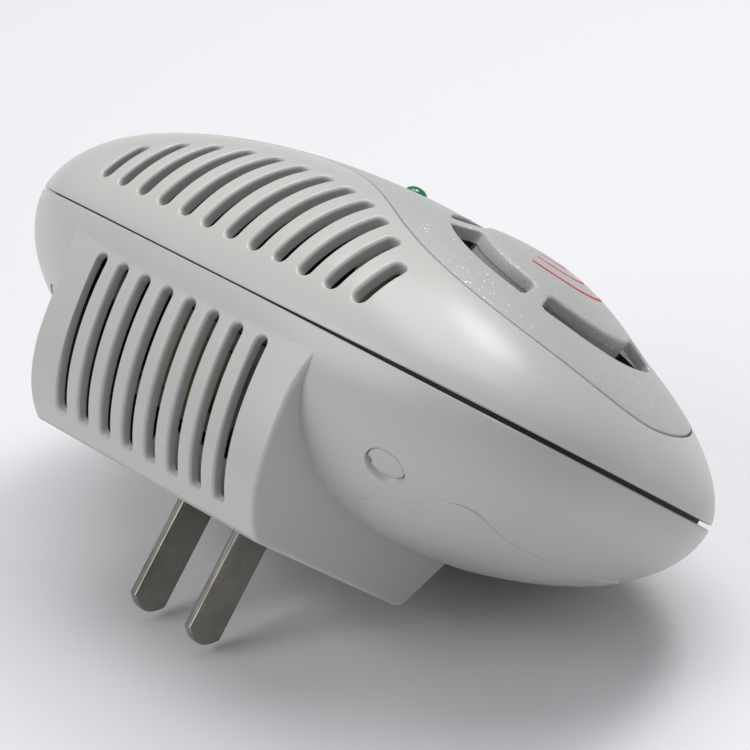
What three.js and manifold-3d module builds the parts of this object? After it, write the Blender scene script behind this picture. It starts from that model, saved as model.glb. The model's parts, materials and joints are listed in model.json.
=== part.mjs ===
// Plug-in ultrasonic pest repeller: an egg-shaped two-part case with a plug block on its rear,
// vent slots along its upper long side, a face panel with a lamp and a domed speaker grille.
// Millimetres. It is built lying face up on a bench: X runs along the case to the speaker end,
// Y runs across it away from the vented side, and Z rises from the plug block's rear face.
// The finished group is then stood up as it hangs in a wall socket, vented side up, face to -Y.
import * as THREE from "three";
import { mergeVertices } from "three/addons/utils/BufferGeometryUtils.js";
import Module from "manifold-3d";

const wasm = await Module();
wasm.setup();

// ---- driving dimensions ----
const GAP = 0.3;                // clearance between separate pieces
const OVERLAP = 1;              // how far a cutting tool runs past what it cuts
const WALL = 2.2;               // case wall
const CASE = {
  x: -1, y: 7.7,                // middle of the case outline, as seen from the blades
  left: 54.4, right: 62,        // from the middle to the plain end and to the speaker end
  half: 35.4,                   // half the width
  corner: 2.83,                 // squareness of the outline: 2 is an ellipse
  parting: 29.5,                // height of the parting line over the wall
};
const FRONT_DOME = { height: 23.2, flat: 2.69, edge: 1.746 };
const REAR_DOME = { height: 23.5, flat: 2.2, edge: 2.0 };
// The front's height changes along the case by this polynomial, and falls to the speaker end.
const CREST = [0.074, -0.315, -0.232, 0.322];
const CREST_RUN = 60;
const OUTLINE_STEPS = 44;
const DOME_STEPS = 6;
const LIP = { outer: 1.3, inner: 2.3, rise: 1.7, relief: 1.0, root: 2.6 };

const BLOCK = {
  halfWidth: 26, rear: -17.5, front: 12.5, bevel: 1.2, endBulge: 8,
  heel: [14, 1.2], step: [17.6, 9],
};
// A front vent ends at [endY, endZ] in the middle of the row, and bows back from it along the row.
const VENT = {
  width: 2.1, pitch: 5.15, low: 34.6, count: 12, endY: -14.6, endZ: 48.6, bow: 0.0074, reach: 10,
};
const BLOCK_VENT = { width: 2.1, pitch: 5.17, low: 2.7, high: 24.9, count: 8, deep: 9 };

const BLADE = { spacing: 12.7, thick: 1.5, width: 6.3, out: 17.4, inside: 8, tip: 1.6 };
const HOLDER = { width: 25, depth: 15, low: 2.5, high: 7.4 };

const PANEL = { thick: 2, ledge: 2.4, ledgeMargin: 2.4, seam: 0.3 };
const GRILLE = {
  x: 29, lean: 14.8 * Math.PI / 180, outer: 17.2, inner: 12.6,
  rim: 0.4, crown: 2.2, skirt: 5, wall: 2, bridge: 52, bridgeWidth: 3.1, below: 12, above: 8,
};
const LAMP = { x: -3.3, radius: 1.5, top: 53.7, base: 46.6 };

const BOARD = { left: -38, right: 32, half: 20.2, low: 24, thick: 1.6 };
const POST = { radius: 1.9, left: -33, right: 29.6, half: 15.6 };
const BOARD_SCREW = { head: 1.7, headHigh: 1.4, shank: 0.8, length: 7 };
const CASE_SCREW = {
  left: -33, right: 39, half: 25, head: 2.6, headHigh: 2, shank: 1.35,
  seat: 26, tip: 37.6, rearBoss: 4.4, frontBoss: 2.7,
};
const CAP = { radius: 2.9, sink: 0.35, thick: 1.5, notch: 1.2 };

// ---- materials ----
const satin = (color, roughness) => new THREE.MeshStandardMaterial({ color, roughness, metalness: 0 });
const metal = (color, roughness) => new THREE.MeshStandardMaterial({ color, roughness, metalness: 1 });
const caseGrey = () => satin(0xc9c9c3, 0.42);
const panelGrey = () => satin(0xb9bdbb, 0.6);
const steel = () => metal(0xb4b2aa, 0.35);

// ---- solids ----
function toSolid(geometry) {
  const bare = geometry.clone();
  bare.deleteAttribute("normal");
  bare.deleteAttribute("uv");
  const merged = mergeVertices(bare, 1e-4);
  return new wasm.Manifold(new wasm.Mesh({
    numProp: 3,
    vertProperties: new Float32Array(merged.attributes.position.array),
    triVerts: new Uint32Array(merged.index.array),
  }));
}

function toGeometry(solid) {
  const mesh = solid.getMesh();
  const geometry = new THREE.BufferGeometry();
  geometry.setAttribute("position", new THREE.BufferAttribute(mesh.vertProperties, 3));
  geometry.setIndex(new THREE.BufferAttribute(mesh.triVerts, 1));
  geometry.computeVertexNormals();
  return geometry;
}

const bench = new THREE.Group();

function place(name, shape, material, parent = bench) {
  const geometry = shape instanceof THREE.BufferGeometry ? shape : toGeometry(shape);
  const mesh = new THREE.Mesh(geometry, material);
  mesh.name = name;
  parent.add(mesh);
  return mesh;
}

const moved = (geometry, x, y, z) => geometry.translate(x, y, z);

// A box given by its centre in plan, its size in plan and its lowest and highest points.
function block(x, y, width, depth, low, high) {
  return moved(new THREE.BoxGeometry(width, depth, high - low), x, y, (low + high) / 2);
}

// An upright cylinder between two heights.
function rod(x, y, radius, low, high, sides = 16) {
  const geometry = new THREE.CylinderGeometry(radius, radius, high - low, sides);
  return moved(geometry.rotateX(Math.PI / 2), x, y, (low + high) / 2);
}

// A solid turned about the Z axis from [radius, height] points, listed from the bottom up.
function turned(points, sides = 22) {
  const profile = points.map(([radius, height]) => new THREE.Vector2(radius, height));
  return new THREE.LatheGeometry(profile, sides).rotateX(Math.PI / 2);
}

// A flat shape in plan, pulled up between two heights.
function prism(shape, low, high, curveSegments = 12) {
  const options = { depth: high - low, bevelEnabled: false, curveSegments };
  return moved(new THREE.ExtrudeGeometry(shape, options), 0, 0, low);
}

// A flat shape in the Y-Z plane, pulled out to a width centred on x.
function slab(shape, x, width, bevel = 0, curveSegments = 10) {
  const options = {
    depth: width - 2 * bevel, bevelEnabled: bevel > 0, bevelThickness: bevel,
    bevelSize: bevel, bevelOffset: -bevel, bevelSegments: 2, curveSegments,
  };
  const geometry = new THREE.ExtrudeGeometry(shape, options);
  moved(geometry, 0, 0, bevel - width / 2);
  geometry.applyMatrix4(new THREE.Matrix4().makeBasis(
    new THREE.Vector3(0, 1, 0), new THREE.Vector3(0, 0, 1), new THREE.Vector3(1, 0, 0)));
  return moved(geometry, x, 0, 0);
}

// A round wire along a smooth curve through some points.
function wire(points, radius, steps, sides = 8) {
  const path = new THREE.CatmullRomCurve3(points.map((p) => new THREE.Vector3(...p)));
  const section = new THREE.Shape();
  for (let i = 0; i < sides; i += 1) {
    const angle = 2 * Math.PI * i / sides;
    const x = radius * Math.cos(angle);
    const y = radius * Math.sin(angle);
    if (i === 0) section.moveTo(x, y);
    else section.lineTo(x, y);
  }
  section.closePath();
  return new THREE.ExtrudeGeometry(section, { steps, extrudePath: path, bevelEnabled: false });
}

// ---- the case's form ----
// A point of the case outline at an angle, drawn in by an inset.
function outlinePoint(angle, inset = 0) {
  const c = Math.cos(angle);
  const s = Math.sin(angle);
  const along = (c < 0 ? CASE.left : CASE.right) - inset;
  const across = CASE.half - inset;
  return [
    CASE.x + along * Math.sign(c) * Math.abs(c) ** (2 / CASE.corner),
    CASE.y + across * Math.sign(s) * Math.abs(s) ** (2 / CASE.corner),
  ];
}

function outlineShape(inset = 0) {
  const shape = new THREE.Shape();
  for (let i = 0; i < OUTLINE_STEPS; i += 1) {
    const [x, y] = outlinePoint(2 * Math.PI * i / OUTLINE_STEPS, inset);
    if (i === 0) shape.moveTo(x, y);
    else shape.lineTo(x, y);
  }
  shape.closePath();
  return shape;
}

// Height of a dome over the parting line at a share of the way out to the outline.
function domeHeight(dome, share, inset = 0) {
  return (dome.height - inset) * (1 - share ** dome.flat) ** (1 / dome.edge);
}

// How far out a point in plan lies: 0 at the middle of the case and 1 on its outline.
function outward(x, y) {
  const along = Math.abs(x - CASE.x) / (x < CASE.x ? CASE.left : CASE.right);
  const across = Math.abs(y - CASE.y) / CASE.half;
  return (along ** CASE.corner + across ** CASE.corner) ** (1 / CASE.corner);
}

function crest(x) {
  const share = (x - CASE.x) / CREST_RUN;
  return CREST.reduce((sum, part, i) => sum + part * share ** (i + 1), 1);
}

const frontHeight = (x, y) => CASE.parting + crest(x) * domeHeight(FRONT_DOME, outward(x, y));

// A closed half of the case's form: a turned unit dome, stretched onto the outline.
// side is 1 for the front and -1 for the rear; start is where it begins beyond the parting line.
function halfForm(dome, side, inset, start) {
  const points = [[0, start], [1, start]];
  if (start < 0) points.push([1, 0]);
  for (let i = 1; i <= DOME_STEPS; i += 1) {
    const share = Math.cos(Math.PI / 2 * i / DOME_STEPS) ** 0.8;
    points.push([i === DOME_STEPS ? 0 : share, 1 - i]);
  }
  const heights = points.map(([share, height], i) => (i < points.length - DOME_STEPS
    ? height : domeHeight(dome, share, inset)));
  const profile = points.map(([share], i) => new THREE.Vector2(share, heights[i]));
  const geometry = new THREE.LatheGeometry(profile, OUTLINE_STEPS).rotateX(Math.PI / 2);
  const position = geometry.attributes.position;
  for (let i = 0; i < position.count; i += 1) {
    const share = Math.hypot(position.getX(i), position.getY(i));
    const [x, y] = outlinePoint(Math.atan2(position.getY(i), position.getX(i)), inset);
    const along = CASE.x + (x - CASE.x) * share;
    const rise = position.getZ(i);
    const lift = side > 0 && rise > start ? rise * crest(along) : rise;
    position.setXYZ(i, along, CASE.y + (y - CASE.y) * share, CASE.parting + side * lift);
  }
  if (side < 0) flip(geometry);
  return toSolid(geometry);
}

function flip(geometry) {
  const index = geometry.index.array;
  for (let i = 0; i < index.length; i += 3) {
    const kept = index[i];
    index[i] = index[i + 1];
    index[i + 1] = kept;
  }
}

// ---- the face panel's outline: a wide lobe round the grille, a waist and a smaller lobe ----
function panelShape(inset) {
  const lobe = { x: 28, along: 27.6 - inset, across: 23.8 - inset };
  const waist = { x: -9, half: 15 - inset };
  const tail = { x: -27, along: 14 - inset, across: 18.5 - inset };
  const full = 0.57;
  const round = 0.56;
  const shape = new THREE.Shape();
  const curve = (side, ...c) => shape.bezierCurveTo(
    c[0], CASE.y + side * c[1], c[2], CASE.y + side * c[3], c[4], CASE.y + side * c[5]);
  const tip = lobe.x + lobe.along;
  const end = tail.x - tail.along;
  shape.moveTo(tip, CASE.y);
  curve(1, tip, full * lobe.across, lobe.x + full * lobe.along, lobe.across, lobe.x, lobe.across);
  curve(1, 14, lobe.across, 6, waist.half, waist.x, waist.half);
  curve(1, -15, waist.half, -18, tail.across, tail.x, tail.across);
  curve(1, tail.x - round * tail.along, tail.across, end, round * tail.across, end, 0);
  curve(-1, end, round * tail.across, tail.x - round * tail.along, tail.across, tail.x, tail.across);
  curve(-1, -18, tail.across, -15, waist.half, waist.x, waist.half);
  curve(-1, 6, waist.half, 14, lobe.across, lobe.x, lobe.across);
  curve(-1, lobe.x + full * lobe.along, lobe.across, tip, full * lobe.across, tip, 0);
  return shape;
}

const TOP = CASE.parting + FRONT_DOME.height + OVERLAP;
const panelPrism = (inset) => toSolid(prism(panelShape(inset), CASE.parting + OVERLAP, TOP, 5));

// ---- screw places ----
const corners = ({ left, right, half }) => [
  [left, CASE.y - half], [left, CASE.y + half], [right, CASE.y - half], [right, CASE.y + half],
];
const casePlaces = corners(CASE_SCREW);
const boardPlaces = corners(POST);

// ---- front cover ----
function ventCutter(x) {
  const { low, reach } = VENT;
  const drop = VENT.bow * x * x;
  const end = new THREE.Vector2(VENT.endY - drop, VENT.endZ - drop);
  const outwards = new THREE.Vector2(-0.6, 0.8);
  const inner = end.clone().addScaledVector(outwards, -2.2 * WALL);
  const outer = end.clone().addScaledVector(outwards, reach);
  const edge = CASE.y - CASE.half - OVERLAP;
  const shape = new THREE.Shape();
  shape.moveTo(edge, low);
  shape.lineTo(inner.x, low);
  shape.lineTo(inner.x, inner.y);
  shape.lineTo(outer.x, outer.y);
  shape.lineTo(edge, outer.y);
  shape.closePath();
  return toSolid(slab(shape, x, VENT.width));
}

function frontCover() {
  const outer = halfForm(FRONT_DOME, 1, 0, GAP / 2);
  const thinned = halfForm(FRONT_DOME, 1, WALL, -OVERLAP);
  const ledgeZone = panelPrism(-PANEL.ledgeMargin);
  const underLedge = halfForm(FRONT_DOME, 1, WALL + PANEL.ledge, -OVERLAP);
  let cover = outer.subtract(thinned.subtract(ledgeZone)).subtract(underLedge);
  for (const [x, y] of casePlaces) {
    const { frontBoss } = CASE_SCREW;
    const boss = toSolid(rod(x, y, frontBoss, CASE.parting + GAP, TOP)).intersect(outer);
    cover = cover.add(boss);
  }
  const seat = halfForm(FRONT_DOME, 1, PANEL.thick + GAP, -OVERLAP);
  cover = cover.subtract(panelPrism(-PANEL.seam).subtract(seat)).subtract(panelPrism(PANEL.ledge));
  const relief = prism(outlineShape(LIP.relief), CASE.parting - OVERLAP, CASE.parting + LIP.rise + GAP);
  const bosses = casePlaces.map(([x, y]) => toSolid(
    rod(x, y, CASE_SCREW.frontBoss, CASE.parting - 2 * OVERLAP, TOP)));
  let reliefCut = toSolid(relief);
  for (const boss of bosses) reliefCut = reliefCut.subtract(boss);
  cover = cover.subtract(reliefCut);
  for (const [x, y] of casePlaces) {
    cover = cover.subtract(toSolid(
      rod(x, y, CASE_SCREW.shank + GAP, CASE.parting - OVERLAP, CASE_SCREW.tip + GAP, 12)));
  }
  for (let i = 0; i < VENT.count; i += 1) {
    cover = cover.subtract(ventCutter((i - (VENT.count - 1) / 2) * VENT.pitch));
  }
  return cover;
}

// ---- rear cover with the plug block ----
// Side view of the plug block: a bulging vented end, a flat rear face and a stepped heel.
function blockProfile(inset, top) {
  const end = CASE.y - CASE.half - 0.6 + inset;
  const shape = new THREE.Shape();
  shape.moveTo(end, top);
  shape.quadraticCurveTo(end + 0.7, BLOCK.endBulge + inset * 0.8, BLOCK.rear + inset * 0.5, inset);
  shape.lineTo(BLOCK.front - inset * 0.7, inset);
  if (inset === 0) shape.lineTo(...BLOCK.heel);
  shape.lineTo(BLOCK.step[0] - inset, BLOCK.step[1]);
  shape.lineTo(BLOCK.step[0] - inset, top);
  shape.closePath();
  return shape;
}

function rearCover() {
  const top = CASE.parting - GAP / 2;
  const outer = halfForm(REAR_DOME, -1, 0, GAP / 2);
  const plug = toSolid(slab(blockProfile(0, top), 0, 2 * BLOCK.halfWidth, BLOCK.bevel))
    .intersect(toSolid(prism(outlineShape(), -OVERLAP, top)));
  const inner = halfForm(REAR_DOME, -1, WALL, -OVERLAP);
  const inside = 2 * (BLOCK.halfWidth - WALL);
  const hollow = toSolid(slab(blockProfile(WALL, CASE.parting + OVERLAP), 0, inside));
  const whole = outer.add(plug);
  let cover = whole.subtract(inner).subtract(hollow);
  for (const [x, y] of casePlaces) {
    cover = cover.add(toSolid(rod(x, y, CASE_SCREW.rearBoss, 0, top)).intersect(outer));
  }
  for (const [x, y] of boardPlaces) {
    cover = cover.add(toSolid(rod(x, y, POST.radius, 0, BOARD.low - GAP, 12)).intersect(outer));
  }
  const lip = toSolid(prism(outlineShape(LIP.outer), CASE.parting - LIP.root, CASE.parting + LIP.rise))
    .subtract(toSolid(prism(outlineShape(LIP.inner), 0, TOP)));
  cover = cover.add(lip);
  for (const [x, y] of casePlaces) {
    cover = cover
      .subtract(toSolid(rod(x, y, CASE_SCREW.shank + GAP, 0, TOP, 12)))
      .subtract(toSolid(rod(x, y, CAP.radius + GAP / 2, 0, CASE_SCREW.seat, 16)));
  }
  for (const [x, y] of boardPlaces) {
    const depth = BOARD.low + BOARD.thick - BOARD_SCREW.length - GAP;
    cover = cover.subtract(toSolid(rod(x, y, BOARD_SCREW.shank + GAP, depth, TOP, 8)));
  }
  for (let i = 0; i < BLOCK_VENT.count; i += 1) {
    const x = (i - (BLOCK_VENT.count - 1) / 2) * BLOCK_VENT.pitch;
    const y = CASE.y - CASE.half;
    const { width, deep, low, high } = BLOCK_VENT;
    cover = cover.subtract(toSolid(block(x, y, width, 2 * deep, low, high)));
  }
  for (const side of [-1, 1]) {
    cover = cover.subtract(toSolid(block(side * BLADE.spacing / 2, 0,
      BLADE.thick + 2 * GAP, BLADE.width + 2 * GAP, -OVERLAP, WALL + OVERLAP)));
  }
  return cover;
}

// ---- face panel with the speaker grille ----
// The grille's own axes: its middle on the panel's surface, leaning with it to the speaker end.
const grilleAxes = new THREE.Matrix4()
  .makeTranslation(GRILLE.x, CASE.y, frontHeight(GRILLE.x, CASE.y))
  .multiply(new THREE.Matrix4().makeRotationY(GRILLE.lean));

function grilleDome() {
  const { inner, rim, crown, skirt, wall } = GRILLE;
  const steps = 3;
  const points = [[inner - wall, -skirt], [inner, -skirt], [inner, rim - 0.5], [inner - 0.4, rim]];
  for (let i = 1; i <= steps; i += 1) {
    const share = 1 - i / steps;
    points.push([(inner - 0.4) * share, rim + (crown - rim) * (1 - share * share)]);
  }
  points.push([0, crown - wall]);
  for (let i = steps - 1; i >= 0; i -= 1) {
    const share = 1 - i / steps;
    points.push([(inner - wall) * share, rim - wall + (crown - rim) * (1 - share * share)]);
  }
  points.push(points[0]);
  return toSolid(turned(points, 28).applyMatrix4(grilleAxes));
}

function grilleSlot(from, to) {
  const shape = new THREE.Shape();
  const [a, b] = [from * Math.PI / 180, to * Math.PI / 180];
  shape.absarc(0, 0, GRILLE.outer, a, b, false);
  shape.absarc(0, 0, GRILLE.inner, b, a, true);
  shape.closePath();
  return toSolid(prism(shape, -GRILLE.below, GRILLE.above, 6).applyMatrix4(grilleAxes));
}

function facePanel() {
  const skin = halfForm(FRONT_DOME, 1, 0, -OVERLAP).intersect(panelPrism(0))
    .subtract(halfForm(FRONT_DOME, 1, PANEL.thick, -2 * OVERLAP));
  const core = rod(0, 0, GRILLE.inner - 0.1, -GRILLE.below, GRILLE.above, 28);
  const under = toSolid(core.applyMatrix4(grilleAxes));
  let panel = skin.subtract(under).add(grilleDome());
  const half = GRILLE.bridgeWidth / GRILLE.outer * 90 / Math.PI;
  const { bridge } = GRILLE;
  const turns = [-bridge, bridge, 180 - bridge, 180 + bridge, 360 - bridge];
  for (let i = 0; i < 4; i += 1) {
    panel = panel.subtract(grilleSlot(turns[i] + half, turns[i + 1] - half));
  }
  return panel.subtract(toSolid(rod(LAMP.x, CASE.y, LAMP.radius + GAP, CASE.parting, TOP + 9, 16)));
}

// ---- speaker, in the grille's axes ----
const SPEAKER = { top: -7.2, radius: 13.2, throat: 7.6, depth: 8.4, flange: 1.4 };

function buildSpeaker() {
  const group = new THREE.Group();
  group.applyMatrix4(grilleAxes);
  bench.add(group);
  const { top, radius, throat, depth, flange } = SPEAKER;
  const low = top - depth;
  const basket = [
    [0, low], [throat + 1, low], [radius - 2, top - flange], [radius, top - flange],
    [radius, top], [radius - 2.6, top], [throat - 0.6, low + 2.4], [0, low + 2.4],
  ];
  place("speaker_basket", turned(basket), satin(0x2a2b2d, 0.5), group);
  const high = -GRILLE.skirt - 2 * GAP;
  const gasket = [
    [radius - 2.4, top + GAP], [radius, top + GAP], [radius, high], [radius - 2.4, high],
    [radius - 2.4, top + GAP],
  ];
  place("speaker_gasket", turned(gasket), satin(0x1b1b1c, 0.9), group);
  const disc = low + 2.4 + GAP;
  place("piezo_disc", turned([[0, disc], [6.4, disc], [6.4, disc + 0.5], [0, disc + 0.5]]),
    metal(0xb08d4a, 0.4), group);
  const cone = [
    [0, disc + 0.8], [3.2, disc + 0.8], [radius - 3.4, top - 0.7], [radius - 3.4, top],
    [3, disc + 1.5], [0, disc + 1.5],
  ];
  place("speaker_cone", turned(cone), satin(0x9a9a96, 0.7), group);
}

// ---- plug ----
function bladeProfile() {
  const half = BLADE.width / 2;
  const shape = new THREE.Shape();
  shape.moveTo(-half, BLADE.inside);
  shape.lineTo(-half, BLADE.tip - BLADE.out);
  shape.quadraticCurveTo(0, -BLADE.out - BLADE.tip, half, BLADE.tip - BLADE.out);
  shape.lineTo(half, BLADE.inside);
  shape.closePath();
  return shape;
}

function buildPlug() {
  const holder = toSolid(block(0, 0, HOLDER.width, HOLDER.depth, HOLDER.low, HOLDER.high));
  let drilled = holder;
  for (const [side, name] of [[-1, "left"], [1, "right"]]) {
    const x = side * BLADE.spacing / 2;
    place(`plug_blade_${name}`, slab(bladeProfile(), x, BLADE.thick, 0.2, 6), steel());
    drilled = drilled.subtract(toSolid(block(x, 0, BLADE.thick + 2 * GAP, BLADE.width + 2 * GAP, 0, 9)));
    const route = [
      [x, 0, BLADE.inside + GAP], [x, 0, BLADE.inside + 2], [x * 1.06, 3, 14],
      [x * 1.1, 8, 19.5], [x * 1.1, 9, 22], [x * 1.1, 9, BOARD.low - GAP],
    ];
    place(`mains_wire_${name}`, wire(route, 0.9, 12), satin(side < 0 ? 0x5b3a24 : 0x2f4f8f, 0.5));
  }
  place("blade_holder", drilled, satin(0xe4e2d8, 0.5));
}

// ---- circuit board and what stands on it ----
const UNDER = BOARD.low - GAP;
const OVER = BOARD.low + BOARD.thick + GAP;

function buildBoard() {
  const middle = (BOARD.left + BOARD.right) / 2;
  let board = toSolid(block(middle, CASE.y, BOARD.right - BOARD.left, 2 * BOARD.half,
    BOARD.low, BOARD.low + BOARD.thick));
  boardPlaces.forEach(([x, y], i) => {
    board = board.subtract(toSolid(rod(x, y, BOARD_SCREW.shank + GAP, 0, TOP, 8)));
    const low = OVER - GAP - BOARD_SCREW.length;
    const screw = [
      [0, low], [BOARD_SCREW.shank * 0.3, low], [BOARD_SCREW.shank, low + 1], [BOARD_SCREW.shank, OVER],
      [BOARD_SCREW.head, OVER], [BOARD_SCREW.head * 0.7, OVER + BOARD_SCREW.headHigh],
      [0, OVER + BOARD_SCREW.headHigh],
    ];
    place(`board_screw_${i + 1}`, moved(turned(screw, 12), x, y, 0), steel());
  });
  place("main_board", board, satin(0x2f6b45, 0.5));
}

const TRANSFORMER = { y: -13, low: 9.6, half: 10.5, leg: 2.9, yoke: 2.6, deep: 8, spread: 6 };

function buildTransformer() {
  const { y, low, half, leg, yoke, deep, spread } = TRANSFORMER;
  const high = UNDER;
  let core = toSolid(block(0, y, 2 * half, deep, low, high));
  for (const side of [-1, 1]) {
    const middle = side * (leg + half - yoke) / 2;
    core = core.subtract(toSolid(
      block(middle, y, half - yoke - leg, deep + OVERLAP, low + yoke, high - yoke)));
  }
  place("transformer_core", core, metal(0x55585c, 0.6));
  const span = [low + yoke + GAP, high - yoke - GAP];
  const outer = toSolid(block(0, y, 2 * (half - yoke - GAP), deep + spread, ...span));
  const around = toSolid(block(0, y, 2 * (leg + GAP), deep + 2 * GAP, 0, TOP));
  place("transformer_winding", outer.subtract(around), satin(0xc9a23a, 0.6));
}

// An electronic part lying on the board's front, along X.
function lying(x, y, radius, length) {
  const geometry = new THREE.CylinderGeometry(radius, radius, length, 14).rotateZ(Math.PI / 2);
  return moved(geometry, x, y, OVER + radius);
}

const CAN = { x: 17.6, y: 1, radius: 5, low: 9.8, edge: 0.4 };
const FILM = { x: -17.5, y: 1, width: 11, depth: 6, low: 13.5 };
const CHIP = { x: 12, y: 18.5, width: 9.6, depth: 6.4, high: 3.4 };
const FUSE = { x: -24, y: 20, radius: 1.8, length: 8 };
const RESISTOR = { x: -24, y: -4, radius: 1.7, length: 7 };
const DIODE = { x: -8, y: 14, pitch: 3.6, radius: 1.2, length: 4.6, count: 4 };

function buildParts() {
  const { radius, low, edge } = CAN;
  const can = [
    [0, low], [radius - edge, low], [radius, low + edge], [radius, UNDER - 2 * edge],
    [radius - edge, UNDER], [0, UNDER],
  ];
  place("storage_capacitor", moved(turned(can, 20), CAN.x, CAN.y, 0), satin(0x27324a, 0.4));
  const film = block(FILM.x, FILM.y, FILM.width, FILM.depth, FILM.low, UNDER);
  place("film_capacitor", film, satin(0xb0392e, 0.45));
  const chip = block(CHIP.x, CHIP.y, CHIP.width, CHIP.depth, OVER, OVER + CHIP.high);
  place("driver_chip", chip, satin(0x1d1d1f, 0.6));
  place("fuse", lying(FUSE.x, FUSE.y, FUSE.radius, FUSE.length), satin(0xd8d5c6, 0.3));
  const resistor = lying(RESISTOR.x, RESISTOR.y, RESISTOR.radius, RESISTOR.length);
  place("dropper_resistor", resistor, satin(0x8fb3c4, 0.6));
  for (let i = 0; i < DIODE.count; i += 1) {
    const diode = lying(DIODE.x, DIODE.y + i * DIODE.pitch, DIODE.radius, DIODE.length);
    place(`rectifier_diode_${i + 1}`, diode, satin(0x17181a, 0.4));
  }
}

// ---- lamp ----
const SPACER = { outer: 2.9, inner: 2 };
const LEAD = { radius: 0.3, half: 0.9 };

function buildLamp() {
  const { x, radius, top, base } = LAMP;
  const bulb = [[0, base], [radius, base], [radius, top - radius]];
  for (let i = 1; i <= 4; i += 1) {
    const angle = Math.PI / 8 * i;
    bulb.push([i === 4 ? 0 : radius * Math.cos(angle), top - radius + radius * Math.sin(angle)]);
  }
  place("indicator_led", moved(turned(bulb, 20), x, CASE.y, 0), satin(0x1d8a4a, 0.2));
  const { inner, outer } = SPACER;
  const tube = [
    [inner, OVER], [outer, OVER], [outer, base - GAP], [inner, base - GAP], [inner, OVER],
  ];
  place("led_spacer", moved(turned(tube, 20), x, CASE.y, 0), satin(0xdedccf, 0.5));
  for (const [i, side] of [-1, 1].entries()) {
    place(`led_lead_${i + 1}`, rod(x + side * LEAD.half, CASE.y, LEAD.radius, OVER, base - GAP, 8), steel());
  }
}

function buildSpeakerWires() {
  const socket = new THREE.Vector3(0, 0, SPEAKER.top - SPEAKER.depth - GAP).applyMatrix4(grilleAxes);
  for (const [i, side] of [-1, 1].entries()) {
    const y = CASE.y + side * 2.4;
    const route = [
      [socket.x, y, socket.z - 0.2], [socket.x - 1.4, y + side, socket.z - 3],
      [21, y + side * 1.5, OVER + 3], [20, y + side * 1.5, OVER],
    ];
    place(`speaker_wire_${i + 1}`, wire(route, 0.55, 10), satin(i ? 0x222222 : 0xb3262a, 0.5));
  }
}

// ---- case screws and the caps that hide them ----
function buildScrews() {
  const { head, headHigh, shank, seat, tip } = CASE_SCREW;
  const top = seat - GAP;
  const profile = [
    [0, top - headHigh], [head * 0.7, top - headHigh], [head, top - headHigh * 0.4], [head, top],
    [shank, top], [shank, tip - 1.2], [shank * 0.35, tip], [0, tip],
  ];
  const skin = halfForm(REAR_DOME, -1, CAP.sink, GAP)
    .subtract(halfForm(REAR_DOME, -1, CAP.sink + CAP.thick, -OVERLAP));
  casePlaces.forEach(([x, y], i) => {
    const cross = [[3.4, 0.7], [0.7, 3.4]].map(([width, depth]) => toSolid(
      block(x, y, width, depth, 0, top - headHigh * 0.35)));
    const screw = toSolid(moved(turned(profile, 16), x, y, 0));
    place(`case_screw_${i + 1}`, screw.subtract(cross[0].add(cross[1])), steel());
    const plug = toSolid(rod(x, y, CAP.radius - GAP / 2, 0, CASE.parting, 16)).intersect(skin);
    const notch = toSolid(block(x - CAP.radius, y, 2 * CAP.notch, CAP.notch, 0, CASE.parting));
    place(`screw_cap_${i + 1}`, plug.subtract(notch), caseGrey());
  });
}

place("front_cover", frontCover(), caseGrey());
place("rear_cover", rearCover(), caseGrey());
place("face_panel", facePanel(), panelGrey());
buildSpeaker();
buildPlug();
buildBoard();
buildTransformer();
buildParts();
buildLamp();
buildSpeakerWires();
buildScrews();

// Stand the case up on the wall: speaker end to -X, vented side to +Z, face to -Y.
bench.applyMatrix4(new THREE.Matrix4().makeBasis(
  new THREE.Vector3(-1, 0, 0), new THREE.Vector3(0, 0, -1), new THREE.Vector3(0, -1, 0)));
const repeller = new THREE.Group();
repeller.add(bench);

export default repeller;
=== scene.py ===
import json
from math import atan2, cos, hypot, pi, radians, sin

import bmesh
import bpy
from bpy.props import FloatProperty, FloatVectorProperty, PointerProperty
from mathutils import Matrix, Vector


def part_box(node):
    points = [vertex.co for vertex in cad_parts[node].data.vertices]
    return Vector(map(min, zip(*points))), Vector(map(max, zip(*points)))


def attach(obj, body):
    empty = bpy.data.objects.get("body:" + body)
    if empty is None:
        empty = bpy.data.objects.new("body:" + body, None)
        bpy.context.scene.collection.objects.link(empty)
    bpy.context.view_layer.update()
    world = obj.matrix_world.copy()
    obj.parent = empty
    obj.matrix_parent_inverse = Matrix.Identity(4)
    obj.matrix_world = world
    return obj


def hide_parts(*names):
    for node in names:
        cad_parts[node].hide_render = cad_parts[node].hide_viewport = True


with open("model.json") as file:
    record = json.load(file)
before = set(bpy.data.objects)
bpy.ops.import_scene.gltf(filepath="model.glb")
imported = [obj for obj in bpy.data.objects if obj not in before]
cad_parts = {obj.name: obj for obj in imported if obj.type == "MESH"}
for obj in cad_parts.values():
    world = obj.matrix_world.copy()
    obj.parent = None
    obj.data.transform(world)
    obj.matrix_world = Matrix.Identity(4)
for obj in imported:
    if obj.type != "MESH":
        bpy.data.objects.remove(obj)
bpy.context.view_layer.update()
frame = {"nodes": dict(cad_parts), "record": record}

# A plug-in ultrasonic repeller, modelled lying face up in millimetres: X runs to the speaker end,
# Y runs away from the vented side and Z rises from the plug block's rear face. Each finished
# piece is stood up as the frame has it, with the vented side up and the face to -Y.
bl_info = {
    "name": "Ultrasonic repeller",
    "version": (1, 0, 0),
    "blender": (4, 5, 0),
    "location": "View3D > Sidebar > Repeller",
    "description": "Builds the case, panel, plug and lamp of a plug-in ultrasonic repeller",
    "category": "Object",
}

MM = 1000.0
STAND = Matrix.Scale(1 / MM, 4) @ Matrix(((-1, 0, 0, 0), (0, 0, -1, 0), (0, -1, 0, 0), (0, 0, 0, 1)))
LOW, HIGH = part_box("rear_cover")
GAP = 0.3


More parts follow.
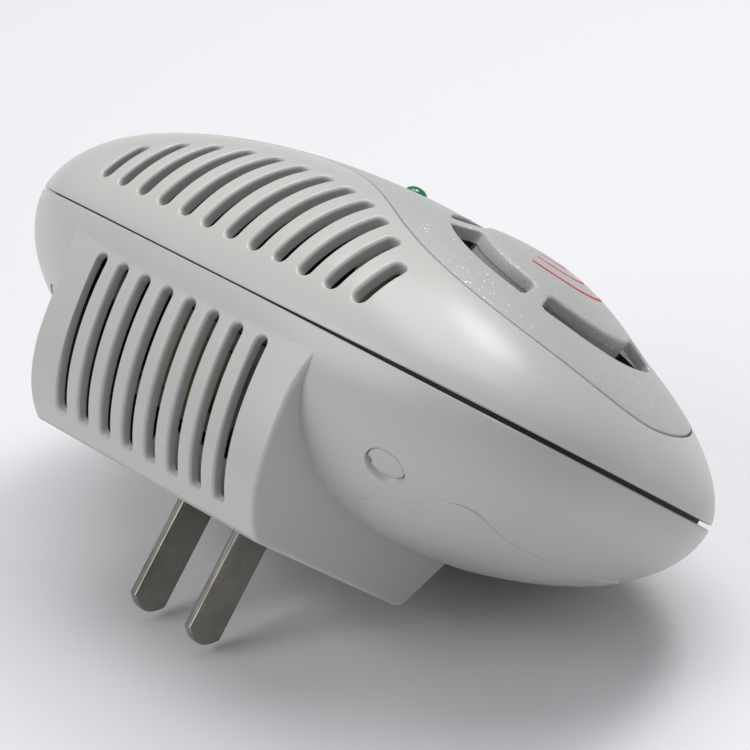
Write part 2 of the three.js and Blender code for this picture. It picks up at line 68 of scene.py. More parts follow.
# ---- sizes and colours that a user would change ----
class CaseSizes(bpy.types.PropertyGroup):
    left: FloatProperty(name="Plain end", description="From the middle to the plain end, mm",
                        default=HIGH.x * MM - 1, min=10)
    right: FloatProperty(name="Speaker end", description="From the middle to the speaker end, mm",
                         default=-LOW.x * MM + 1, min=10)
    half: FloatProperty(name="Half width", description="Half the case's width, mm",
                        default=(HIGH.z - LOW.z) * MM / 2, min=10)
    squareness: FloatProperty(name="Squareness", description="2 gives an oval outline",
                              default=2.83, min=2, max=6)
    parting: FloatProperty(name="Parting line", description="Height over the wall face, mm",
                           default=29.5, min=5)
    wall: FloatProperty(name="Wall", description="Thickness of the case, mm", default=1.8, min=0.5)
    vent_width: FloatProperty(name="Vent width", description="Width of every slot, mm",
                              default=2.2, min=0.5)
    vent_pitch: FloatProperty(name="Vent pitch", description="From slot to slot, mm",
                              default=5.15, min=1)


class Finish(bpy.types.PropertyGroup):
    case: FloatVectorProperty(name="Case", description="Colour of the moulded case",
                              subtype="COLOR", size=3, default=(0.55, 0.552, 0.525))
    # Painted shade: a near-black colour given to the case's inner faces in place of the plastic's own
    # colour, which is the same inside and out.
    inside: FloatVectorProperty(name="Inside", description="Colour of the case's unpolished inside",
                                subtype="COLOR", size=3, default=(0.095, 0.093, 0.088))
    panel: FloatVectorProperty(name="Panel", description="Colour of the face panel",
                               subtype="COLOR", size=3, default=(0.475, 0.49, 0.475))
    emblem: FloatVectorProperty(name="Emblem", description="Colour of the printed arcs",
                                subtype="COLOR", size=3, default=(0.62, 0.01, 0.04))
    lens: FloatVectorProperty(name="Lens", description="Colour of the lamp's lens",
                              subtype="COLOR", size=3, default=(0.0, 0.20, 0.055))
    blade: FloatVectorProperty(name="Blades", description="Colour of the plug blades",
                               subtype="COLOR", size=3, default=(0.33, 0.315, 0.28))


class StageSizes(bpy.types.PropertyGroup):
    lean: FloatProperty(name="Lean", description="How far the case leans back on the table",
                        default=radians(42), subtype="ANGLE")
    key: FloatProperty(name="Key light", description="Power of the overhead softbox", default=6.9,
                       subtype="POWER", min=0)
    fill: FloatProperty(name="Fill light", description="Power of the side softbox", default=3.2,
                        subtype="POWER", min=0)
    glint: FloatProperty(name="Highlight", description="Power of the lamp that shines on the shoulder",
                         default=1.0, subtype="POWER", min=0)
    room: FloatProperty(name="Room light", description="Strength of the surroundings", default=0.25,
                        min=0)


# ---- sizes, in millimetres ----
MERGE = 1e-4
CASE_X, CASE_Y = -1.0, 7.7
# side: which way a half rises from the parting line; flat and edge: the powers of its dome
FRONT = {"side": 1, "height": 23.2, "flat": 2.69, "edge": 1.746}
REAR = {"side": -1, "height": 23.5, "flat": 2.2, "edge": 2.0}
# how the front's height changes: powers 1 to 4 of the share of CREST_RUN from the middle
CREST, CREST_RUN = (0.074, -0.315, -0.232, 0.322), 60.0
# the case halves: rows up the dome, steps round it, and the joint's half gap and eased rim
DOME_RINGS, OUTLINE_STEPS = 44, 168
JOINT, RIM, JOINT_WIDENS = 0.07, 0.25, 0.26
ABOVE_RIM, ABOVE_START = 0.65, 0.15
# the plug block: half its length, the edges of its wall face and far side, and how it spreads
BLOCK_HALF, BLOCK_FRONT, BLOCK_SIDE, BLOCK_EASE = 26.0, 12.5, 17.6, 1.7
BLOCK_END = ((-26.8, 29.34), (-28.35, 23.0), (-26.3, 5.5), (-17.5, 0.0))
FLARE, FLARE_FROM, FLARE_RUN, DRAFT, DRAFT_RUN = 0.073, 16, 13.5, 0.02, 10
# where the slots stop: up the front's side, and down the block's end
FRONT_VENTS, VENT_LOW, VENT_INNER, VENT_BOW = 12, 34.6, -14.3, 0.007
BLOCK_VENTS, BLOCK_VENT_HIGH, BLOCK_VENT_LOW = 8, 25.2, 2.5
# how a slot's mouth opens: (how much wider, how deep), from just outside the surface inwards
MOUTH = ((0.85, -0.22), (0.5, -0.02), (0.27, 0.08), (0.1, 0.24), (0.02, 0.42), (0.0, 0.62), (0.0, 3.2))
MOUTH_REACH = 0.6
# the lip in the joint and the pad under the rating label
LIP_OUT, LIP_IN, LIP_LOW, LIP_HIGH = 1.7, 2.6, -2.6, 1.7
LABEL_LOW, LABEL_HIGH, LABEL_HALF, LABEL_CORNER, LABEL_RISE = 29.5, 49.8, 18.8, 4.5, 0.18
# the caps over the case screws
SCREW_X, SCREW_Y, SCREW_SQUASH = (-33.1, 39.1), 24.4, 0.72
CAP_RADIUS, SEAT_RADIUS, CAP_SINK, NOTCH_RADIUS = 2.86, 3.05, 0.75, 0.7
# the plug blades
BLADE_X, BLADE_HALF, BLADE_FACE, BLADE_OUT, BLADE_ARCH = 6.35, 3.15, 0.75, 17.4, 1.6
BLADE_ROOT, BLADE_PLAY = 8.0, 0.25
# the face panel and its grille
PANEL_WALL = 2.0
LEAN, BULGE, BULGE_POWER = 14.8, 2.2, 1.3
GRILLE_X, GRILLE_OUT, GRILLE_IN = 29.0, 17.2, 12.6
BRIDGE_HALF, BRIDGE_TURN, SLOT_CORNER = 1.55, 52, 0.8
SKIRT_OUT, SKIRT_IN, SKIRT_LOW, SKIRT_HIGH = GRILLE_IN - 0.1, GRILLE_IN - 1.7, -6.5, -1.5
# the printed waves: where they spread from, the first arc, the gap and how high they lie, then
# where each edge of the print fades
WAVE_X, WAVE_FIRST, WAVE_GAP, WAVE_HIGH = GRILLE_X - 4.5, 3.2, 1.6, 46.0
WAVE_LINE, WAVE_SPREAD, WAVE_INNER, WAVE_OUTER = (0.27, 0.33), (0.93, 0.96), (2.6, 2.8), (10.2, 10.3)
LAMP_X, LAMP_TOP, LAMP_BASE, LAMP_RADIUS, LAMP_RISE = -3.3, 53.9, 46.6, 1.75, 1.2

# ---- the stage, in metres, in the frame's axes ----
CAMERA_AT, CAMERA_LENS, CAMERA_SENSOR = (-0.420556, -0.026134, 0.415052), 201.6, 36.0
VIEW_RIGHT = Vector((-0.63531, -0.45763, -0.62206))
VIEW_UP = Vector((0.32554, -0.88914, 0.32164))
VIEW_BACK = Vector((-0.70029, 0.00184, 0.71386))
TABLE_AT, TABLE_HALF = (0, 0.0175, -0.0031), 3.0
AIM = Vector((0, -0.03, 0))
# a lamp's place is across, up and nearer than AIM, as the camera sees it
KEY_AT, KEY_SIZE = (0.02, 0.98, 0.28), 0.8
FILL_AT, FILL_SIZE = (-0.80, 0.30, 0.45), 0.6
GLINT_ON, GLINT_FROM, GLINT_AWAY, GLINT_SIZE = (-0.045, -0.038, 0.016), (0.100, -0.992, 0.081), 0.6, 0.2


# ---- the case's form ----


def case():
    return bpy.context.scene.case_sizes


def outline_point(angle, inset=0.0):
    """A point of the case's outline, seen from the wall, drawn in by an inset."""
    c, s, p = cos(angle), sin(angle), case().squareness
    reach = (abs(c) ** p + abs(s) ** p) ** (-1 / p)
    along = (case().left if c < 0 else case().right) - inset
    return CASE_X + along * c * reach, CASE_Y + (case().half - inset) * s * reach


def outward(x, y, inset=0.0):
    """0 in the middle of the case and 1 on its outline, or on one drawn in by an inset."""
    p = case().squareness
    along = abs(x - CASE_X) / ((case().left if x < CASE_X else case().right) - inset)
    return (along ** p + (abs(y - CASE_Y) / (case().half - inset)) ** p) ** (1 / p)


def dome_height(dome, share, inset=0.0):
    return (dome["height"] - inset) * max(0.0, 1 - share ** dome["flat"]) ** (1 / dome["edge"])


def crest(dome, x):
    """How the front's height changes along the case, which slopes down to the speaker end."""
    if dome is REAR:
        return 1.0
    share = (x - CASE_X) / CREST_RUN
    return 1 + sum(part * share ** (power + 1) for power, part in enumerate(CREST))


def surface(dome, x, y):
    """Height of the case's front or rear surface over the wall face."""
    return case().parting + dome["side"] * crest(dome, x) * dome_height(dome, outward(x, y))


def within(dome, spot, inset):
    """Whether a point lies in one half's form drawn in by an inset."""
    share = outward(spot.x, spot.y, inset)
    rise = dome["side"] * (spot.z - case().parting)
    return share < 1 and rise < crest(dome, spot.x) * dome_height(dome, share, inset)


def bulge(x, y):
    """How far the face panel swells over the case's surface at the speaker."""
    away = hypot((x - GRILLE_X) / cos(radians(LEAN)), y - CASE_Y) / GRILLE_OUT
    return BULGE * max(0.0, 1 - away * away) ** BULGE_POWER


def outline_edge(x):
    """Y of the outline's vented side at x."""
    p = case().squareness
    along = abs(x - CASE_X) / (case().left if x < CASE_X else case().right)
    return CASE_Y - case().half * max(0.0, 1 - along ** p) ** (1 / p)


def smooth_step(value):
    value = min(1.0, max(0.0, value))
    return value * value * (3 - 2 * value)


# ---- mesh helpers ----
def mesh_object(bm, name):
    mesh = bpy.data.meshes.new(name)
    bm.to_mesh(mesh)
    bm.free()
    made = bpy.data.objects.new(name, mesh)
    bpy.context.scene.collection.objects.link(made)
    return made


def tidy(bm):
    bmesh.ops.remove_doubles(bm, verts=bm.verts, dist=MERGE)
    bmesh.ops.recalc_face_normals(bm, faces=bm.faces)
    return bm


def loft(bm, loops, capped=True):
    """A skin pulled through closed loops of points, one after another."""
    verts = [bm.verts.new(point) for point in loops[0]]
    ring = [bm.edges.new((a, b)) for a, b in zip(verts, verts[1:] + verts[:1])]
    first = ring
    for points in loops[1:]:
        made = bmesh.ops.extrude_edge_only(bm, edges=ring)["geom"]
        twins = {item.co.to_tuple(): item for item in made if isinstance(item, bmesh.types.BMVert)}
        verts = [twins[vert.co.to_tuple()] for vert in verts]
        fresh = set(verts)
        ring = [item for item in made
                if isinstance(item, bmesh.types.BMEdge) and fresh.issuperset(item.verts)]
        for vert, point in zip(verts, points):
            vert.co = point
    if capped:
        for edges in (first, ring):
            bmesh.ops.contextual_create(bm, geom=edges)
    return bm


def spun(profile, steps):
    """A solid turned about Z from (radius, height) points that start and end on the axis."""
    bm = bmesh.new()
    verts = [bm.verts.new((radius, 0, height)) for radius, height in profile]
    edges = [bm.edges.new(pair) for pair in zip(verts, verts[1:])]
    bmesh.ops.spin(bm, geom=verts + edges, cent=(0, 0, 0), axis=(0, 0, 1), angle=2 * pi,
                   steps=steps, use_merge=True)
    return tidy(bm)


def box(bm, low, high):
    """An upright box between two corners."""
    size = [b - a for a, b in zip(low, high)]
    middle = [(a + b) / 2 for a, b in zip(low, high)]
    matrix = Matrix.Translation(middle) @ Matrix.Diagonal((*size, 1))
    bmesh.ops.create_cube(bm, size=1, matrix=matrix)


def combine(target, operation, *cutters):
    """Cuts, joins or crosses a piece with others, which are used up."""
    for cutter in cutters:
        change = target.modifiers.new("cut", "BOOLEAN")
        change.operation = operation
        change.solver = "EXACT"
        change.object = cutter
        graph = bpy.context.evaluated_depsgraph_get()
        mesh = bpy.data.meshes.new_from_object(target.evaluated_get(graph))
        target.modifiers.clear()
        old, target.data = target.data, mesh
        bpy.data.meshes.remove(old)
        bpy.data.objects.remove(cutter)
        if not len(mesh.polygons):
            raise RuntimeError(f"{target.name}: nothing is left after a cut")
    return target


def finish_piece(piece, material, replaced=(), sharp=38, shaded_faces=None):
    mesh = piece.data
    mesh.name = piece.name
    mesh.materials.clear()
    mesh.materials.append(material)
    # Faces that the test picks take a second material: the near-black painted shade of the case's inside.
    if shaded_faces:
        mesh.materials.append(painted_shade_plastic())
    for face in mesh.polygons:
        face.use_smooth = True
        face.material_index = 1 if shaded_faces and shaded_faces(face.center, face.normal) else 0
    mesh.transform(STAND)
    mesh.set_sharp_from_angle(angle=radians(sharp))
    weighted = piece.modifiers.new("even shading", "WEIGHTED_NORMAL")
    weighted.keep_sharp = True
    weighted.weight = 60
    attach(piece, "root")
    if replaced:
        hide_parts(*replaced)
    return piece


# ---- material helpers ----
class Nodes:
    """Short ways to add nodes to one tree."""

    def __init__(self, tree):
        self.tree = tree
        self.tree.nodes.clear()

    def add(self, kind, **values):
        node = self.tree.nodes.new(kind)
        for name, value in values.items():
            setattr(node, name, value)
        return node

    def put(self, socket, value):
        """Links a socket to another node's output, or gives it a constant."""
        if isinstance(value, bpy.types.NodeSocket):
            self.tree.links.new(value, socket)
        else:
            socket.default_value = value

    def feed(self, node, **sockets):
        for name, value in sockets.items():
            self.put(node.inputs[name.replace("_", " ")], value)
        return node

    def math(self, operation, *values):
        node = self.add("ShaderNodeMath", operation=operation)
        for socket, value in zip(node.inputs, values):
            self.put(socket, value)
        return node.outputs[0]

    def vector(self, operation, first, second=None):
        node = self.add("ShaderNodeVectorMath", operation=operation)
        self.put(node.inputs[0], first)
        if second is not None:
            self.put(node.inputs["Scale" if operation == "SCALE" else 1], second)
        return node.outputs[0]

    def ramp(self, value, low, high, start=0.0, end=1.0):
        node = self.add("ShaderNodeMapRange", interpolation_type="SMOOTHSTEP")
        for socket, item in zip(node.inputs, (value, low, high, start, end)):
            self.put(socket, item)
        return node.outputs[0]

    def tint(self, factor, first, second):
        node = self.add("ShaderNodeMix", data_type="RGBA")
        self.put(node.inputs[0], factor)
        for index, item in ((6, first), (7, second)):
            linked = isinstance(item, bpy.types.NodeSocket)
            self.put(node.inputs[index], item if linked else (*item, 1))
        return node.outputs[2]

    def output(self, shader):
        out = self.add("ShaderNodeOutputMaterial")
        self.tree.links.new(shader.outputs[0], out.inputs[0])


def new_material(name):
    """A material with an empty tree, and the ways to fill it."""
    material = bpy.data.materials.new(name)
    material.use_nodes = True
    return material, Nodes(material.node_tree)


def new_group(name, inputs, outputs):
    group = bpy.data.node_groups.new(name, "ShaderNodeTree")
    nodes = Nodes(group)
    for label, kind, default in inputs:
        socket = group.interface.new_socket(label, in_out="INPUT", socket_type=kind)
        socket.default_value = default
    for label, kind in outputs:
        group.interface.new_socket(label, in_out="OUTPUT", socket_type=kind)
    return nodes, nodes.add("NodeGroupInput"), nodes.add("NodeGroupOutput")


def moulded_grain():
    """Fine moulded texture: a bump, a slow drift of shade and a roughness that follows the grain."""
    name = "moulded grain"
    if name in bpy.data.node_groups:
        return bpy.data.node_groups[name]
    nodes, given, result = new_group(
        name,
        (("Colour", "NodeSocketColor", (0.5, 0.5, 0.5, 1)), ("Grain Scale", "NodeSocketFloat", 2500.0),
         ("Depth", "NodeSocketFloat", 0.15), ("Roughness", "NodeSocketFloat", 0.4),
         ("Drift", "NodeSocketFloat", 0.03)),
        (("Colour", "NodeSocketColor"), ("Roughness", "NodeSocketFloat"), ("Normal", "NodeSocketVector")))
    place = nodes.add("ShaderNodeTexCoord")
    grain = nodes.feed(nodes.add("ShaderNodeTexNoise"), Vector=place.outputs["Object"],
                       Scale=given.outputs["Grain Scale"], Detail=3.0, Roughness=0.6)
    slow = nodes.feed(nodes.add("ShaderNodeTexNoise"), Vector=place.outputs["Object"],
                      Scale=55.0, Detail=2.0, Roughness=0.5)
    drift = nodes.math("SUBTRACT", slow.outputs["Fac"], 0.5)
    shade = nodes.math("MULTIPLY", drift, given.outputs["Drift"])
    fine = nodes.math("SUBTRACT", grain.outputs["Fac"], 0.5)
    level = nodes.math("ADD", nodes.math("ADD", shade, nodes.math("MULTIPLY", fine, 0.05)), 1.0)
    scaled = nodes.vector("SCALE", given.outputs["Colour"], level)
    rough = nodes.math("ADD", given.outputs["Roughness"], nodes.math("MULTIPLY", fine, 0.16))
    bump = nodes.feed(nodes.add("ShaderNodeBump"), Strength=given.outputs["Depth"], Distance=0.00006,
                      Height=grain.outputs["Fac"])
    nodes.feed(result, Colour=scaled, Roughness=rough, Normal=bump.outputs[0])
    return nodes.tree


def sparkle():
    """Flakes of metallic pigment: where they show, and which way each one faces."""
    name = "sparkle"
    if name in bpy.data.node_groups:
        return bpy.data.node_groups[name]
    nodes, given, result = new_group(
        name, (("Scale", "NodeSocketFloat", 2600.0), ("Share", "NodeSocketFloat", 0.3),
               ("Tilt", "NodeSocketFloat", 0.5)),
        (("Flecks", "NodeSocketFloat"), ("Normal", "NodeSocketVector")))
    place = nodes.add("ShaderNodeTexCoord")
    cells = nodes.feed(nodes.add("ShaderNodeTexVoronoi", feature="F1"),
                       Vector=place.outputs["Object"], Scale=given.outputs["Scale"])
    pick = nodes.add("ShaderNodeSeparateColor")
    nodes.tree.links.new(cells.outputs["Color"], pick.inputs[0])
    chosen = nodes.math("LESS_THAN", pick.outputs[0], given.outputs["Share"])
    near = nodes.ramp(cells.outputs["Distance"], 0.3, 0.55, 1.0, 0.0)
    flecks = nodes.math("MULTIPLY", chosen, near)
    centred = nodes.vector("SUBTRACT", cells.outputs["Color"], (0.5, 0.5, 0.5))
    tilted = nodes.vector("SCALE", centred, nodes.math("MULTIPLY", flecks, given.outputs["Tilt"]))
    flat = nodes.add("ShaderNodeNewGeometry")
    total = nodes.vector("ADD", flat.outputs["Normal"], tilted)
    nodes.feed(result, Flecks=flecks, Normal=nodes.vector("NORMALIZE", total))
    return nodes.tree


def plastic(name, colour, roughness, depth=0.15, grain=2500.0, drift=0.03, coat=0.0):
    """A moulded plastic; a second call with the same name gives the same material."""
    if name in bpy.data.materials:
        return bpy.data.materials[name]
    material, nodes = new_material(name)
    group = nodes.add("ShaderNodeGroup", node_tree=moulded_grain())
    nodes.feed(group, Colour=(*colour, 1), Grain_Scale=grain, Depth=depth, Roughness=roughness,
               Drift=drift)
    shader = nodes.add("ShaderNodeBsdfPrincipled")
    nodes.feed(shader, Base_Color=group.outputs["Colour"], Roughness=group.outputs["Roughness"],
               Normal=group.outputs["Normal"], Coat_Weight=coat)
    nodes.output(shader)
    return material


def metal(name, colour, roughness, stretch=(1, 1, 1), scale=900.0):
    """A plated or rolled metal, with fine streaks drawn out along the axis that stretch makes small."""
    if name in bpy.data.materials:
        return bpy.data.materials[name]
    material, nodes = new_material(name)
    place = nodes.add("ShaderNodeTexCoord")
    along = nodes.feed(nodes.add("ShaderNodeMapping"), Vector=place.outputs["Object"], Scale=stretch)
    streak = nodes.feed(nodes.add("ShaderNodeTexNoise"), Vector=along.outputs[0], Scale=scale,
                        Detail=4.0, Roughness=0.65)
    stain = nodes.feed(nodes.add("ShaderNodeTexNoise"), Vector=place.outputs["Object"], Scale=260.0,
                       Detail=2.0)
    darker = [0.86 * part for part in colour]
    shade = nodes.tint(nodes.ramp(stain.outputs["Fac"], 0.35, 0.7), colour, darker)
    rough = nodes.ramp(streak.outputs["Fac"], 0.2, 0.8, roughness - 0.08, roughness + 0.12)
    bump = nodes.feed(nodes.add("ShaderNodeBump"), Strength=0.35, Distance=0.00004,
                      Height=streak.outputs["Fac"])
    shader = nodes.feed(nodes.add("ShaderNodeBsdfPrincipled"), Base_Color=shade, Roughness=rough,
                        Normal=bump.outputs[0], Metallic=1.0)
    nodes.output(shader)
    return material


def colours():
    return bpy.context.scene.finish


def case_plastic():
    return plastic("case plastic", colours().case, 0.31, depth=0.08, grain=3200.0)


def painted_shade_plastic():
    """Painted shade: a near-black, rough plastic on the case's inner faces, where hardly any light gets
    in.
    """
    return plastic("case inside", colours().inside, 0.75, depth=0.4, grain=1400.0)


def panel_plastic():
    """Sparkling grey, with thin red sound-wave arcs printed on the grille's dome."""
    name = "panel plastic"
    if name in bpy.data.materials:
        return bpy.data.materials[name]
    material, nodes = new_material(name)
    base = nodes.add("ShaderNodeGroup", node_tree=moulded_grain())
    nodes.feed(base, Colour=(*colours().panel, 1), Grain_Scale=4200.0, Depth=0.4, Roughness=0.46,
               Drift=0.03)
    flecks = nodes.add("ShaderNodeGroup", node_tree=sparkle())
    nodes.feed(flecks, Scale=2700.0, Share=0.4, Tilt=0.5)
    shine = flecks.outputs["Flecks"]
    pale = [min(1.0, 1.12 * part) for part in colours().panel]
    ground = nodes.tint(shine, base.outputs["Colour"], pale)
    place = nodes.add("ShaderNodeTexCoord")
    split = nodes.add("ShaderNodeSeparateXYZ")
    nodes.tree.links.new(place.outputs["Object"], split.inputs[0])
    # distances on the dome, in mm, from the point that the sound waves spread from
    along = nodes.math("SUBTRACT", nodes.math("MULTIPLY", split.outputs["X"], -MM), WAVE_X)
    across = nodes.math("SUBTRACT", nodes.math("MULTIPLY", split.outputs["Z"], -MM), CASE_Y)
    far = nodes.math("SQRT", nodes.math("ADD", nodes.math("POWER", along, 2.0),
                                        nodes.math("POWER", across, 2.0)))
    turn = nodes.math("ABSOLUTE", nodes.math("ARCTAN2", across, along))
    wave = nodes.math("PINGPONG", nodes.math("SUBTRACT", far, WAVE_FIRST), WAVE_GAP)
    line = nodes.ramp(wave, *WAVE_LINE, 1.0, 0.0)
    inside = nodes.math("MULTIPLY", nodes.ramp(turn, *WAVE_SPREAD, 1.0, 0.0),
                        nodes.ramp(far, *WAVE_OUTER, 1.0, 0.0))
    facing = nodes.math("GREATER_THAN", nodes.math("MULTIPLY", split.outputs["Y"], -MM), WAVE_HIGH)
    mask = nodes.math("MULTIPLY", nodes.math("MULTIPLY", line, inside),
                      nodes.math("MULTIPLY", facing, nodes.ramp(far, *WAVE_INNER)))
    paint = nodes.tint(mask, ground, tuple(colours().emblem))
    facet = nodes.add("ShaderNodeMix", data_type="VECTOR")
    for index, item in ((0, shine), (4, base.outputs["Normal"]), (5, flecks.outputs["Normal"])):
        nodes.tree.links.new(item, facet.inputs[index])
    rough = nodes.math("SUBTRACT", base.outputs["Roughness"], nodes.math("MULTIPLY", shine, 0.24))
    glossy = nodes.ramp(mask, 0.0, 1.0, nodes.ramp(shine, 0.0, 1.0, 0.5, 1.0), 0.12)
    shader = nodes.feed(nodes.add("ShaderNodeBsdfPrincipled"), Base_Color=paint, Roughness=rough,
                        Normal=facet.outputs[1], Specular_IOR_Level=glossy)
    nodes.output(shader)
    return material


def lens_plastic():
    """Clear green lens, with a coat and a slow random drift in its tone."""
    return plastic("lens plastic", colours().lens, 0.12, depth=0.02, grain=900.0, drift=0.2, coat=0.6)


# ---- the case's two halves ----
def half_form(name, dome, inset=0.0, start=None, swell=False, steps=OUTLINE_STEPS):
    """One half of the case's form: a turned unit dome, stretched onto the outline.

    Without a start it stops at the joint's eased rim. A cutter has a start beyond the parting line.
    """
    outer = start is None
    rim = RIM / (case().half + inset)
    begin = JOINT if outer else start
    if outer:
        profile = [(0, begin), (1 - rim, begin), (1 - 0.3 * rim, begin + 0.3 * RIM), (1, begin + RIM)]
    else:
        profile = [(0, begin), (1, begin), (1, 0)]
    lowest = profile[-1][1] + (ABOVE_RIM if outer else ABOVE_START)
    for step in range(1, DOME_RINGS + 1):
        share = cos(pi / 2 * step / DOME_RINGS) ** 0.8 if step < DOME_RINGS else 0.0
        height = dome_height(dome, share, inset)
        if height > lowest:
            profile.append((share, height))
    bm = spun(profile, steps)
    for vert in bm.verts:
        share = hypot(vert.co.x, vert.co.y)
        x, y = outline_point(atan2(vert.co.y, vert.co.x), inset)
        x, y = CASE_X + (x - CASE_X) * share, CASE_Y + (y - CASE_Y) * share
        height = vert.co.z
        if outer and height < begin + RIM + 0.01:
            height += JOINT_WIDENS * smooth_step((x - 5) / 50)
        elif height > begin:
            height *= crest(dome, x)
            height += bulge(x, y) if swell else 0.0
        vert.co = (x, y, case().parting + dome["side"] * height)
    return mesh_object(tidy(bm), name)


def front_curve(x):
    """(y, z) points up the front half's vented side in the plane at x."""
    points = []
    edge, steps = outline_edge(x), 160
    for step in range(steps + 1):
        y = edge + (CASE_Y - 6 - edge) * (step / steps) ** 2.2
        points.append((y, surface(FRONT, x, y)))
    return points


def block_curve(x, steps=36):
    """(y, z) points down the plug block's bulging end in the plane at x."""
    drift = outline_edge(x) - outline_edge(0)
    ends = [Vector(end) for end in BLOCK_END]
    points = []
    for step in range(steps + 1):
        t = step / steps
        weights = (1 - t) ** 3, 3 * t * (1 - t) ** 2, 3 * t * t * (1 - t), t ** 3
        y, z = sum((w * p for w, p in zip(weights, ends)), Vector((0, 0)))
        points.append((y + drift * (1 - t) ** 2, z))
    return points


class Rail:
    """A curve in a plane x = const, read by its length."""

    def __init__(self, points, inside):
        self.points = [Vector(point) for point in points]
        self.inside = Vector(inside)
        self.lengths = [0.0]
        for a, b in zip(self.points, self.points[1:]):
            self.lengths.append(self.lengths[-1] + (b - a).length)

    def where(self, test):
        """The length at which the curve first passes a test."""
        for point, length in zip(self.points, self.lengths):
            if test(point):
                return length
        raise RuntimeError("the slot's end isn't on the case")

    def at(self, length):
        """The point at a length and the inward normal there."""
        k = 1
        while k < len(self.lengths) - 1 and self.lengths[k] < length:
            k += 1
        a, b = self.points[k - 1], self.points[k]
        run = (b - a).normalized()
        point = a + run * (length - self.lengths[k - 1])
        normal = Vector((-run.y, run.x))
        if normal.dot(self.inside - point) < 0:
            normal.negate()
        return point, normal


def level_with(dome, x, y, z):
    """How far a point stands out from a dome's surface, measured square to it."""
    step = 0.05
    fall = (surface(dome, x, y + step) - surface(dome, x, y - step)) / (2 * step)
    gap = dome["side"] * (z - surface(dome, x, y)) / hypot(1, fall)
    return min(MOUTH_REACH, max(-MOUTH_REACH, gap))


def slot_cutter(bm, x, rail, start, end, width, dome=None):
    """One slot along a rail, round-ended, with a mouth that opens softly and follows the dome."""
    half = width / 2
    straight, bend = max(6, int((end - start) / 1.1)), 8
    loops = []
    for wider, deep in MOUTH:
        radius = half + wider
        outline = []
        for step in range(bend + 1):
            turn = pi * step / bend
            outline.append((end - half + radius * sin(turn), radius * cos(turn)))
        for step in range(1, straight):
            outline.append((end - half - (end - start - width) * step / straight, -radius))
        for step in range(bend + 1):
            turn = pi * step / bend
            outline.append((start + half - radius * sin(turn), -radius * cos(turn)))
        for step in range(1, straight):
            outline.append((start + half + (end - start - width) * step / straight, radius))
        loop = []
        for length, across in outline:
            point, normal = rail.at(length)
            deeper = deep + (level_with(dome, x + across, *point) if dome else 0.0)
            point = point + normal * deeper
            loop.append(Vector((x + across, point.x, point.y)))
        loops.append(loop)
    inward = (rail.at(start)[1] + rail.at(end)[1]).normalized()
    inward = Vector((0, inward.x, inward.y))
    outside = min(point.dot(inward) for point in loops[0]) - 1.0
    inside = max(point.dot(inward) for point in loops[-1]) + 0.5
    first = [point + inward * (outside - point.dot(inward)) for point in loops[0]]
    last = [point + inward * (inside - point.dot(inward)) for point in loops[-1]]
    loft(bm, [first] + loops + [last])


def front_vents():
    """The row of slots up the vented side."""
    bm = bmesh.new()
    for count in range(FRONT_VENTS):
        x = (count - (FRONT_VENTS - 1) / 2) * case().vent_pitch
        rail = Rail(front_curve(x), (10, 36))
        start = rail.where(lambda point: point.y > VENT_LOW)
        inner = VENT_INNER - VENT_BOW * x * x
        end = rail.where(lambda point: point.x > inner)
        slot_cutter(bm, x, rail, start, end, case().vent_width, FRONT)
    return mesh_object(tidy(bm), "front_vents")


def block_vents():
    """The row of slots down the plug block's end."""
    bm = bmesh.new()
    for count in range(BLOCK_VENTS):
        x = (count - (BLOCK_VENTS - 1) / 2) * case().vent_pitch
        rail = Rail(block_curve(x, 90), (0, 16))
        start = rail.where(lambda point: point.y < BLOCK_VENT_HIGH)
        end = rail.where(lambda point: point.y < BLOCK_VENT_LOW)
        slot_cutter(bm, x, rail, start, end, case().vent_width)
    return mesh_object(tidy(bm), "block_vents")


def panel_outline(grow, count=30):
    """The face panel's outline: a wide lobe round the grille, a waist and a smaller lobe."""
    lobe_x, along, across = 28.0, 27.6 + grow, 23.8 + grow
    waist_x, waist = -9.0, 15.0 + grow
    tail_x, tail_along, tail_across = -27.0, 14.0 + grow, 18.5 + grow
    tip, end = lobe_x + along, tail_x - tail_along
    curves = (
        ((tip, 0), (tip, 0.57 * across), (lobe_x + 0.57 * along, across), (lobe_x, across)),
        ((lobe_x, across), (14, across), (6, waist), (waist_x, waist)),
        ((waist_x, waist), (-15, waist), (-18, tail_across), (tail_x, tail_across)),
        ((tail_x, tail_across), (tail_x - 0.56 * tail_along, tail_across),
         (end, 0.56 * tail_across), (end, 0)),
    )
    half = []
    for curve in curves:
        a, b, c, d = (Vector(point) for point in curve)
        for step in range(count):
            t = step / count
            rest = 1 - t
            half.append(a * rest ** 3 + b * 3 * t * rest ** 2 + c * 3 * t * t * rest + d * t ** 3)
    half.append(Vector((end, 0)))
    back = [Vector((point.x, -point.y)) for point in reversed(half[1:-1])]
    return [(point.x, CASE_Y + point.y) for point in half + back]


def panel_plug(name, rings):
    """A plug of the panel's outline, whose rings follow the front: (growth, height over it)."""
    bm = bmesh.new()
    low, high = case().parting + 1, case().parting + FRONT["height"] + 3
    loops = [[(x, y, low) for x, y in panel_outline(rings[0][0])]]
    for grow, over in rings:
        loops.append([(x, y, surface(FRONT, x, y) + over) for x, y in panel_outline(grow)])
    loops.append([(x, y, high) for x, y in panel_outline(rings[-1][0])])
    return mesh_object(tidy(loft(bm, loops)), name)


def downhill(x, y):
    """The direction in plan in which the case's surface falls to the parting line."""
    step = 0.1
    return Vector((outward(x + step, y) - outward(x - step, y),
                   outward(x, y + step) - outward(x, y - step))).normalized()


